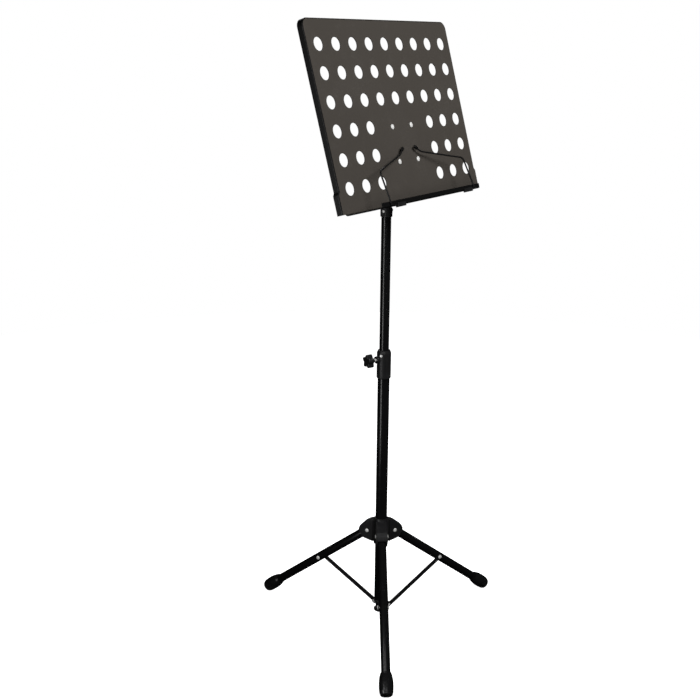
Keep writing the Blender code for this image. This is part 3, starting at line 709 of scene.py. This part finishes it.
def makePostTube(name, node, body, values):
    low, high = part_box(node)
    centre = (low + high) / 2
    outer = (high.x - low.x) / 2
    matrix = Matrix.Translation((centre.x, centre.y, 0))
    profile = tubeProfile(outer, outer - values["wall"], low.z, high.z, values["edge"])
    mesh = lathe(name, profile, matrix, values["segments"])
    return addPiece(name, mesh, body, "tube_paint", [node])


makePostTube("lowerTube", "lower_tube", "post", post)
makePostTube("upperTube", "upper_tube", "upper_post", post)
print("stage: post tubes")


# legs

leg = {
    "spread": math.radians(51.7),  # between a leg and the post
    "length": 342.5 * mm,  # from the pivot to the foot's tip
    "radius": 9.5 * mm,
    "wall": 1.2 * mm,
    "behind": 5.0 * mm,  # the tube's end stands this far behind its pivot
    "gap": 0.3 * mm,  # between the tube and the foot's socket
    "footLength": 46.0 * mm,
    "footSocket": 11.0 * mm,
    "footRadius": 14.8 * mm,
    "footEnd": 12.8 * mm,
    "segments": 72,
}


def legFrame(number):
    # Z runs down the leg from its pivot, Y across it
    joint = joints[f"leg_{number}_fold"]
    across = Vector(joint["axis"])
    outward = across.cross(Vector((0, 0, 1)))
    down = outward * math.sin(leg["spread"]) - Vector((0, 0, 1)) * math.cos(leg["spread"])
    side = across.cross(down)
    turn = Matrix((side, across, down)).transposed().to_4x4()
    return Matrix.Translation(joint["pos_m"]) @ turn


def footProfile(values):
    # rubber barrel: narrow neck, belly and a rounded end with a shallow dish
    length = values["footLength"]
    top = values["length"] - length
    belly = values["footRadius"]
    end = values["footEnd"]
    stations = [
        (0.0, 0.70), (0.0, 0.745), (0.012, 0.765), (0.03, 0.775), (0.05, 0.78), (0.062, 0.79),
        (0.075, 0.825), (0.10, 0.85), (0.16, 0.887), (0.24, 0.93), (0.32, 0.965), (0.40, 0.988),
        (0.46, 1.0), (0.54, 1.0), (0.62, 0.996), (0.70, 0.986), (0.80, 0.965), (0.88, 0.935),
    ]
    points = [(belly * share, top + length * t) for t, share in stations]
    last = values["length"]
    dish = last - 1.2 * mm
    points += [(end * 1.01, last - 4.0 * mm), (end, last - 2.4 * mm)]
    points += [(end - 0.5 * mm, last - 1.1 * mm), (end - 1.5 * mm, last - 0.3 * mm)]
    points += [(end - 2.8 * mm, last), (0.6 * end, last), (0.5 * end, dish)]
    points += [(0.25 * end, dish), (0.0, dish)]
    socket = values["radius"] + values["gap"]
    inside = values["length"] - values["footSocket"]
    return [(0.0, inside), (socket, inside), (socket, top), *points]


def makeLeg(number, values):
    matrix = legFrame(number)
    body = f"leg_{number}"
    end = values["length"] - values["footSocket"] - values["gap"]
    inner = values["radius"] - values["wall"]
    profile = tubeProfile(values["radius"], inner, -values["behind"], end, post["edge"])
    mesh = lathe(f"legTube{number}", profile, matrix, values["segments"])
    addPiece(f"legTube{number}", mesh, body, "tube_paint", [f"leg_tube_{number}"])

    bm = bmesh.new()
    profile = list(reversed(footProfile(values)))
    latheInto(bm, profile, matrix, values["segments"])
    bmesh.ops.remove_doubles(bm, verts=bm.verts, dist=making["weld"])
    everything = [*bm.verts, *bm.edges, *bm.faces]
    cut = bmesh.ops.bisect_plane(
        bm, geom=everything, plane_co=(0, 0, 0), plane_no=(0, 0, -1), clear_outer=True
    )
    rim = [item for item in cut["geom_cut"] if isinstance(item, bmesh.types.BMEdge)]
    bmesh.ops.holes_fill(bm, edges=rim, sides=0)
    bmesh.ops.recalc_face_normals(bm, faces=bm.faces)
    mesh = meshOf(bm, f"foot{number}")
    addPiece(f"foot{number}", mesh, body, "black_rubber", [f"leg_foot_{number}"])


for number in (1, 2, 3):
    makeLeg(number, leg)
print("stage: legs and feet")


# braces, rivets and pins

rivet = {
    "radius": 2.5 * mm,
    "head": 4.2 * mm,
    "height": 1.8 * mm,
    "deskHead": 5.0 * mm,
    "deskRadius": 2.4 * mm,
}


def makeBrace(number):
    mesh = bevelled(f"brace{number}", f"leg_brace_{number}", making["stampEdge"], 3)
    addPiece(f"brace{number}", mesh, f"brace_{number}", "steel_paint", [f"leg_brace_{number}"])


def headPlaces(node, axis, height):
    # the seats of a rivet's two heads, and how far each is from its middle
    low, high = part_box(node)
    centre = (low + high) / 2
    direction = Vector(axis).normalized()
    corners = [vert.co - centre for vert in frame["nodes"][node].data.vertices]
    seat = max(abs(corner.dot(direction)) for corner in corners) - height
    return [(centre + direction * side * seat, direction * side) for side in (1, -1)], seat


def makeRivets(number, values):
    body = f"leg_{number}"
    axis = joints[f"leg_{number}_fold"]["axis"]
    places, seat = headPlaces(f"brace_rivet_{number}", axis, values["height"])
    sizes = (values["head"], values["height"], values["radius"], seat)
    rivetPiece(f"braceRivet{number}", body, [f"brace_rivet_{number}"], places, *sizes)


hubPlaces = []
for number in (1, 2, 3):
    makeBrace(number)
    makeRivets(number, rivet)
    axis = joints[f"leg_{number}_fold"]["axis"]
    places, seat = headPlaces(f"leg_pivot_rivet_{number}", axis, rivet["height"])
    hubPlaces += places
hubNodes = [f"leg_pivot_rivet_{number}" for number in (1, 2, 3)]
rivetPiece(
    "hubRivets", "hub", hubNodes, hubPlaces, rivet["head"], rivet["height"], rivet["radius"], seat
)
print("stage: braces and rivets")


# fasteners turned from their own CAD profile: node, body, finish, axis
knobAxis = joints["knob_turn"]["axis"]
across = (1, 0, 0)
turnings = [
    ("clampScrew", "clamp_screw", "clamp", "zinc", knobAxis),
    ("clampPad", "clamp_pad", "post", "nylon", knobAxis),
    ("guideSleeve", "guide_sleeve", "riser", "nylon", (0, 0, 1)),
    ("tiltBolt", "tilt_bolt", "upper_post", "zinc", across),
    ("tiltNut", "tilt_nut", "upper_post", "black_plastic", across),
    ("tiltWasherLeft", "tilt_washer_left", "upper_post", "nylon", across),
    ("tiltWasherRight", "tilt_washer_right", "upper_post", "nylon", across),
]
rivetTurn = Matrix.Rotation(math.radians(33.0), 3, "Z")  # from the knob round to the rivet
turnings.append(("collarRivet", "collar_rivet", "post", "zinc", rivetTurn @ Vector(knobAxis)))
for number in (1, 2, 3):
    axis = joints[f"brace_{number}_swing"]["axis"]
    brace = f"brace_{number}"
    turnings.append((f"braceEndPin{number}", f"brace_end_pin_{number}", brace, "zinc", axis))
    turnings.append((f"bracketPin{number}", f"bracket_pin_{number}", "post", "zinc", axis))
for name, node, body, slot, axis in turnings:
    turnedPiece(name, node, body, slot, axis)
print("stage: fasteners", len(turnings))


# moulded pieces: name, body, remesh size, smoothing passes, share of faces kept

moulds = {
    "leg_hub": ("legHub", "hub", 0.75 * mm, 6, 0.35),
    "clutch_collar": ("clutchCollar", "post", 0.5 * mm, 4, 0.4),
    "height_knob": ("heightKnob", "clamp", 0.4 * mm, 4, 0.5),
    "tilt_head": ("tiltHead", "upper_post", 0.4 * mm, 3, 0.5),
    "brace_bracket": ("braceBracket", "post", 0.5 * mm, 4, 0.4),
}
for node, (name, body, voxel, smoothing, share) in moulds.items():
    mesh = moulded(name, node, voxel, smoothing, share)
    addPiece(name, mesh, body, "black_plastic", [node])
print("stage: moulded pieces")


# desk

desk = {
    "lean": math.radians(16.0),
    "behind": 77.6 * mm,  # the face stands this far in front of the tilt axis
    "firstRow": 52.4 * mm,  # lowest row of holes above the tilt axis
    "pitch": 52.0 * mm,
    "radius": 12.4 * mm,
    "columns": 9,
    "rows": 6,
    "plainRows": 3,  # no holes in the middle of the lowest rows
    "plainColumns": 3,
    "half": 241.5 * mm,
    "above": 46.5 * mm,  # sheet above the top row and below the lowest
    "below": 46.0 * mm,
    "corner": 16.0 * mm,
    "thick": 1.2 * mm,
    "flange": 13.0 * mm,
    "bend": 2.2 * mm,
    "ear": 4.0 * mm,
    "earHeight": 43.0 * mm,
    "ledge": 39.0 * mm,
    "ledgeBack": 236.0 * mm,
    "ledgeFront": 178.0 * mm,
    "lip": 9.0 * mm,
    "rim": 0.45 * mm,  # round on each hole's rims
    "blunt": 0.3 * mm,  # the sheet's cut edges are broken by this much
}
deskLean = Matrix.Rotation(-desk["lean"], 4, "X")
deskFrame = Matrix.Translation(joints["desk_tilt"]["pos_m"]) @ deskLean


def deskGraph(material):
    # the flat face: an outline filled round a grid of punched holes, then given thickness
    graph = Graph("punchedFace")
    pitch = graph.size("Pitch")
    radius = graph.size("Hole Radius")
    columns = graph.size("Columns", "NodeSocketInt")
    rows = graph.size("Rows", "NodeSocketInt")
    first = graph.size("First Row")
    plainHalf = graph.size("Plain Half Width")
    plainTop = graph.size("Plain Height")
    thick = graph.size("Thickness")
    outline = graph.add("GeometryNodeMeshToCurve", {}, {0: graph.entry.outputs[0]})
    wide = graph.maths("MULTIPLY", pitch, graph.maths("SUBTRACT", columns, 1.0))
    tall = graph.maths("MULTIPLY", pitch, graph.maths("SUBTRACT", rows, 1.0))
    grid = graph.add(
        "GeometryNodeMeshGrid",
        {},
        {"Size X": wide, "Size Y": tall, "Vertices X": columns, "Vertices Y": rows},
    )
    middle = graph.maths("ADD", first, graph.maths("MULTIPLY", tall, 0.5))
    shift = graph.add("ShaderNodeCombineXYZ", {}, {1: middle})
    grid = graph.add("GeometryNodeTransform", {}, {"Geometry": grid, "Translation": shift})
    where = graph.add("GeometryNodeInputPosition")
    across = graph.add("ShaderNodeSeparateXYZ", {}, {0: where}, "X")
    height = graph.add("ShaderNodeSeparateXYZ", {}, {0: where}, "Y")
    near = graph.maths("LESS_THAN", graph.maths("ABSOLUTE", across), plainHalf)
    low = graph.maths("LESS_THAN", height, plainTop)
    plain = graph.maths("MULTIPLY", near, low)
    grid = graph.add(
        "GeometryNodeDeleteGeometry", {"domain": "POINT"}, {"Geometry": grid, "Selection": plain}
    )
    circle = graph.add("GeometryNodeCurvePrimitiveCircle", {}, {"Resolution": 48, "Radius": radius})
    punched = graph.add("GeometryNodeInstanceOnPoints", {}, {"Points": grid, "Instance": circle})
    punched = graph.add("GeometryNodeRealizeInstances", {}, {0: punched})
    loops = graph.add("GeometryNodeJoinGeometry", {}, {0: [outline, punched]})
    front = graph.add("GeometryNodeFillCurve", {"mode": "NGONS"}, {0: loops})
    push = {0: front, "Offset Scale": thick, "Individual": False}
    pushed = graph.add("GeometryNodeExtrudeMesh", {"mode": "FACES"}, push)
    back = graph.add("GeometryNodeFlipFaces", {}, {0: front})
    solid = graph.add("GeometryNodeJoinGeometry", {}, {0: [pushed, back]})
    solid = graph.add("GeometryNodeMergeByDistance", {}, {0: solid, "Distance": 0.000001})
    graph.finish(solid, material)
    return graph


def deskOutline(values):
    # the sheet's rim from lower right over the top to lower left, as (x, height) in the desk
    bottom = values["firstRow"] - values["below"]
    top = values["firstRow"] + (values["rows"] - 1) * values["pitch"] + values["above"]
    start = bottom + values["bend"]
    step = bottom + values["earHeight"]
    wide = values["half"] + values["ear"]
    right = [(wide, start), (wide, step - values["ear"] - 1.5 * mm)]
    right += [(wide - 0.3 * mm, step - values["ear"])]
    right += [(values["half"] + 0.3 * mm, step), (values["half"], step + 1.5 * mm)]
    corner = values["corner"]
    for index in range(13):
        turn = math.radians(90 * index / 12)
        x = values["half"] - corner + corner * math.cos(turn)
        right.append((x, top - corner + corner * math.sin(turn)))
    return right + [(-x, z) for x, z in reversed(right)]


def inwardNormals(rim):
    # unit normals of an open path that turns left round the face
    normals = []
    for index in range(len(rim)):
        before = rim[max(index - 1, 0)]
        after = rim[min(index + 1, len(rim) - 1)]
        run = Vector((after[0] - before[0], after[1] - before[1])).normalized()
        normals.append(Vector((-run.y, run.x)))
    normals[0] = Vector((-1, 0))
    normals[-1] = Vector((1, 0))
    return normals


def deskFace(values, rim, inward):
    # the punched face, stood up with its front at -Y and its outer walls taken away
    bend = values["bend"]
    start = values["firstRow"] - values["below"] + bend
    inset = [Vector(point) + normal * bend for point, normal in zip(rim, inward)]
    loop = [tuple(point) for point in inset]
    loop += [(-values["ledgeBack"], start), (values["ledgeBack"], start)]
    outline = bpy.data.meshes.new("deskOutline")
    edges = [(i, (i + 1) % len(loop)) for i in range(len(loop))]
    outline.from_pydata([(x, y, 0.0) for x, y in loop], edges, [])
    graph = deskGraph(finishes["desk_paint"])
    flat = graph.run(
        "deskFace",
        outline,
        {
            "Pitch": values["pitch"],
            "Hole Radius": values["radius"],
            "Columns": values["columns"],
            "Rows": values["rows"],
            "First Row": values["firstRow"],
            "Plain Half Width": values["pitch"] * values["plainColumns"] / 2,
            "Plain Height": values["firstRow"] + values["pitch"] * (values["plainRows"] - 0.5),
            "Thickness": values["thick"],
        },
    )
    bm = takenApart(flat)
    highest = max(vert.co.z for vert in bm.verts)
    for vert in bm.verts:
        x, y, z = vert.co
        vert.co = (x, highest - z - values["behind"], y)
    bmesh.ops.recalc_face_normals(bm, faces=bm.faces)
    keep = values["radius"] * 1.02

    def nearHole(point):
        column = round(point.x / values["pitch"])
        row = round((point.z - values["firstRow"]) / values["pitch"])
        centre = Vector((column * values["pitch"], values["firstRow"] + row * values["pitch"]))
        return (Vector((point.x, point.z)) - centre).length < keep

    walls = [f for f in bm.faces if abs(f.normal.y) < 0.1]
    outer = [f for f in walls if not nearHole(f.calc_center_median())]
    bmesh.ops.delete(bm, geom=outer, context="FACES")
    rims = []
    for edge in bm.edges:
        if len(edge.link_faces) == 2 and edge.calc_face_angle(0.0) > math.radians(60):
            rims.append(edge)
    bmesh.ops.bevel(bm, geom=rims, offset=values["rim"], segments=2, affect="EDGES", profile=0.5)
    return bm


quarterTurn = [math.radians(90 * step / 6) for step in range(7)]


def addFlange(bm, values, rim, inward):
    # the edge bent back round both sides and the top
    bend = values["bend"]
    thick = values["thick"]
    blunt = values["blunt"]
    depth = values["flange"]
    section = [(bend * (1 - math.sin(t)), bend * (1 - math.cos(t))) for t in quarterTurn]
    section += [(0.0, depth - blunt), (blunt, depth), (thick - blunt, depth)]
    section += [(thick, depth - blunt)]
    small = bend - thick
    for t in reversed(quarterTurn):
        section.append((bend - small * math.sin(t), bend - small * math.cos(t)))
    rings = []
    for point, normal in zip(rim, inward):
        ring = []
        for shift, back in section:
            place = Vector(point) + normal * shift
            ring.append(bm.verts.new((place.x, back - values["behind"], place.y)))
        rings.append(ring)
    for one, two in zip(rings, rings[1:]):
        for i in range(len(section) - 1):
            bm.faces.new((one[i], one[i + 1], two[i + 1], two[i]))


def addLedge(bm, values):
    # the shelf bent forward along the bottom, narrower at its front, with a turned-up lip
    bend = values["bend"]
    thick = values["thick"]
    blunt = values["blunt"]
    face = -values["behind"]
    front = face - values["ledge"]
    bottom = values["firstRow"] - values["below"]
    start = bottom + bend
    wide = bend + thick
    stations = []
    for t in quarterTurn:
        inner = (face - bend + bend * math.cos(t), start - bend * math.sin(t))
        outerPoint = (face - bend + wide * math.cos(t), start - wide * math.sin(t))
        stations.append((inner, outerPoint))
    for t in quarterTurn:
        inner = (front + bend - bend * math.sin(t), start - bend * math.cos(t))
        outerPoint = (front + bend - wide * math.sin(t), start - wide * math.cos(t))
        stations.append((inner, outerPoint))
    lipTop = bottom + values["lip"]
    stations.append(((front, lipTop - blunt), (front - thick, lipTop - blunt)))
    stations.append(((front - blunt, lipTop), (front - thick + blunt, lipTop)))
    previous = None
    for inner, outerPoint in stations:
        share = min(max((face - inner[0]) / values["ledge"], 0.0), 1.0)
        half = values["ledgeBack"] + (values["ledgeFront"] - values["ledgeBack"]) * share
        corners = [(-half, *inner), (half, *inner), (half, *outerPoint), (-half, *outerPoint)]
        ring = [bm.verts.new(corner) for corner in corners]
        if previous:
            for i in range(4):
                j = (i + 1) % 4
                bm.faces.new((previous[i], previous[j], ring[j], ring[i]))
        previous = ring
    bm.faces.new(previous)


def markEdges(bm, values):
    # "edge" is 0 on the broad face, front and back, and 1 everywhere else, where the desk paint
    # puts painted shade
    layer = bm.faces.layers.float.new("edge")
    nearFace = -values["behind"] - 1.0 * mm
    for item in bm.faces:
        broad = abs(item.normal.y) > 0.98 and item.calc_center_median().y > nearFace
        item[layer] = 0.0 if broad else 1.0


def makeDesk(values):
    rim = deskOutline(values)
    inward = inwardNormals(rim)
    bm = deskFace(values, rim, inward)
    addFlange(bm, values, rim, inward)
    addLedge(bm, values)
    bmesh.ops.remove_doubles(bm, verts=bm.verts, dist=0.000005)
    rims = [edge for edge in bm.edges if len(edge.link_faces) == 1]
    bmesh.ops.holes_fill(bm, edges=rims, sides=0)
    bmesh.ops.recalc_face_normals(bm, faces=bm.faces)
    bm.normal_update()
    markEdges(bm, values)
    bmesh.ops.transform(bm, matrix=deskFrame, verts=bm.verts)
    mesh = meshOf(bm, "deskSheet", 40.0, 30.0 * mm**2)
    addPiece("deskSheet", mesh, "desk", "desk_paint", ["desk_plate"])


makeDesk(desk)
mesh = bevelled("deskBracket", "desk_bracket", making["stampEdge"], 3)
addPiece("deskBracket", mesh, "desk", "steel_paint", ["desk_bracket"])


def makeDeskRivets(values):
    front = deskFrame.to_3x3() @ Vector((0, -1, 0))
    places = []
    for number in (1, 2, 3, 4):
        heads, seat = headPlaces(f"desk_rivet_{number}", front, values["height"])
        places += heads
    nodes = [f"desk_rivet_{number}" for number in (1, 2, 3, 4)]
    sizes = (values["deskHead"], values["height"], values["deskRadius"], seat)
    rivetPiece("deskRivets", "desk", nodes, places, *sizes)


makeDeskRivets(rivet)
print("stage: desk")


# page holders

holder = {
    "wire": 1.6 * mm,  # radius
    "inner": 112.0 * mm,
    "outer": 152.0 * mm,
    "front": 43.5 * mm,
    "knee": (2.0 * mm, 12.0 * mm, 66.0 * mm),  # inward, back and up from the foot
    "end": (35.0 * mm, 93.0 * mm, 7.5 * mm),  # from the middle, up, before the face
    "tipEnd": (22.0 * mm, 104.0 * mm, 5.5 * mm),
    "bend": 8.0 * mm,
    "tipEdge": 0.8 * mm,
    "blockEdge": 0.9 * mm,
}


def makeHolder(side, name, values):
    matrix = Matrix.Translation(joints[f"holder_{name}_swing"]["pos_m"]) @ deskLean
    shift = side * values["outer"]
    kneeIn, kneeBack, kneeUp = values["knee"]
    endX, endZ, endGap = values["end"]
    tipX, tipZ, tipGap = values["tipEnd"]
    corners = [
        (side * (values["inner"] - values["outer"]), 0, 0),
        (0, 0, 0),
        (-side * kneeIn, kneeBack, kneeUp),
        (side * endX - shift, values["front"] - endGap, endZ),
        (side * tipX - shift, values["front"] - tipGap, tipZ),
    ]
    points = roundedPath(corners, values["bend"])
    title = name.title()
    body = f"holder_{name}"
    mesh = wireMesh(f"pageWire{title}", points, values["wire"], matrix)
    addPiece(f"pageWire{title}", mesh, body, "steel_paint", [f"page_holder_{name}"])
    run = matrix.to_3x3() @ (Vector(corners[-1]) - Vector(corners[-2]))
    tip = f"holder_tip_{name}"
    turnedPiece(f"wireTip{title}", tip, body, "black_rubber", run, values["tipEdge"])
    mesh = bevelled(f"wireBlock{title}", f"holder_block_{name}", values["blockEdge"], 4)
    addPiece(f"wireBlock{title}", mesh, "desk", "black_plastic", [f"holder_block_{name}"])


makeHolder(-1, "left", holder)
makeHolder(1, "right", holder)
print("stage: page holders")


# what keeps its CAD shape

for node, obj in frame["nodes"].items():
    obj.data.materials.clear()
    obj.data.materials.append(finishes[slotOf[node]])
    for polygon in obj.data.polygons:
        polygon.material_index = 0


# floor, light and camera

studio = {
    "floor": (0.9, 0.9, 0.9),
    "reach": 2.7,  # radius of the floor sheet
    "glow": 0.9,  # light the floor sheet gives off itself, so that it looks white
    "backdrop": 1.0,
    # lamp: place, what it faces, width and height, watts, whether it makes highlights
    "key": ((0.3, -1.5, 2.3), (0.0, -0.1, 1.15), (0.9, 0.9), 62.0, False),
    "front": ((-1.9, -1.9, 0.9), (0.0, 0.0, 0.35), (0.8, 0.8), 30.0, False),
    "strip": ((-1.25, 0.11, 0.66), (0.0, 0.0, 0.66), (0.2, 1.25), 5.0, True),
    "fill": ((-2.3, -1.5, 2.6), (0.0, 0.0, 0.7), (1.6, 1.6), 16.0, True),
    "back": ((1.6, 1.6, 2.2), (0.0, 0.0, 0.7), (1.2, 1.2), 14.0, True),
}


def makeStage(values):
    # a glowing white sheet and backdrop that only the camera sees, so that lamps do the modelling
    bm = bmesh.new()
    bmesh.ops.create_circle(bm, cap_ends=True, segments=96, radius=values["reach"])
    mesh = bpy.data.meshes.new("floor")
    bm.to_mesh(mesh)
    bm.free()
    floor = bpy.data.objects.new("floor", mesh)
    bpy.context.scene.collection.objects.link(floor)
    net = Net("floor")
    net.shader.inputs["Emission Color"].default_value = (1.0, 1.0, 1.0, 1.0)
    net.shader.inputs["Emission Strength"].default_value = values["glow"]
    mesh.materials.append(net.use(colour=values["floor"], roughness=0.9, specular=0.0))
    floor.visible_glossy = False
    floor.visible_diffuse = False
    world = bpy.data.worlds.new("studio")
    bpy.context.scene.world = world
    world.use_nodes = True
    background = world.node_tree.nodes["Background"]
    background.inputs["Color"].default_value = (1.0, 1.0, 1.0, 1.0)
    background.inputs["Strength"].default_value = values["backdrop"]
    world.cycles_visibility.diffuse = False
    world.cycles_visibility.glossy = False
    bpy.context.scene.view_settings.view_transform = "Standard"


def makeLamp(name, place, target, size, power, highlights):
    data = bpy.data.lights.new(name, "AREA")
    data.shape = "RECTANGLE"
    data.size, data.size_y = size
    data.energy = power
    lamp = bpy.data.objects.new(name, data)
    bpy.context.scene.collection.objects.link(lamp)
    lamp.location = place
    aim = Vector(target) - Vector(place)
    lamp.rotation_euler = aim.to_track_quat("-Z", "Y").to_euler()
    lamp.visible_camera = False
    lamp.visible_glossy = highlights


camera = {
    "place": (-1.78745, -1.24527, 1.26739),
    "right": (0.557419, -0.830039, 0.017918),
    "up": (0.221846, 0.169707, 0.960205),
    "lens": 55.065,
    "sensor": 36.0,
    "shift": (-0.05686, -0.0104),
}


def makeCamera(values):
    data = bpy.data.cameras.new("camera")
    data.lens = values["lens"]
    data.sensor_width = values["sensor"]
    data.shift_x, data.shift_y = values["shift"]
    obj = bpy.data.objects.new("camera", data)
    bpy.context.scene.collection.objects.link(obj)
    right = Vector(values["right"]).normalized()
    up = Vector(values["up"])
    back = right.cross(up).normalized()
    up = back.cross(right)
    turn = Matrix((right, up, back)).transposed().to_4x4()
    obj.matrix_world = Matrix.Translation(values["place"]) @ turn
    bpy.context.scene.camera = obj


makeStage(studio)
for name in ("key", "front", "strip", "fill", "back"):
    makeLamp(name, *studio[name])
makeCamera(camera)
print("stage: studio")
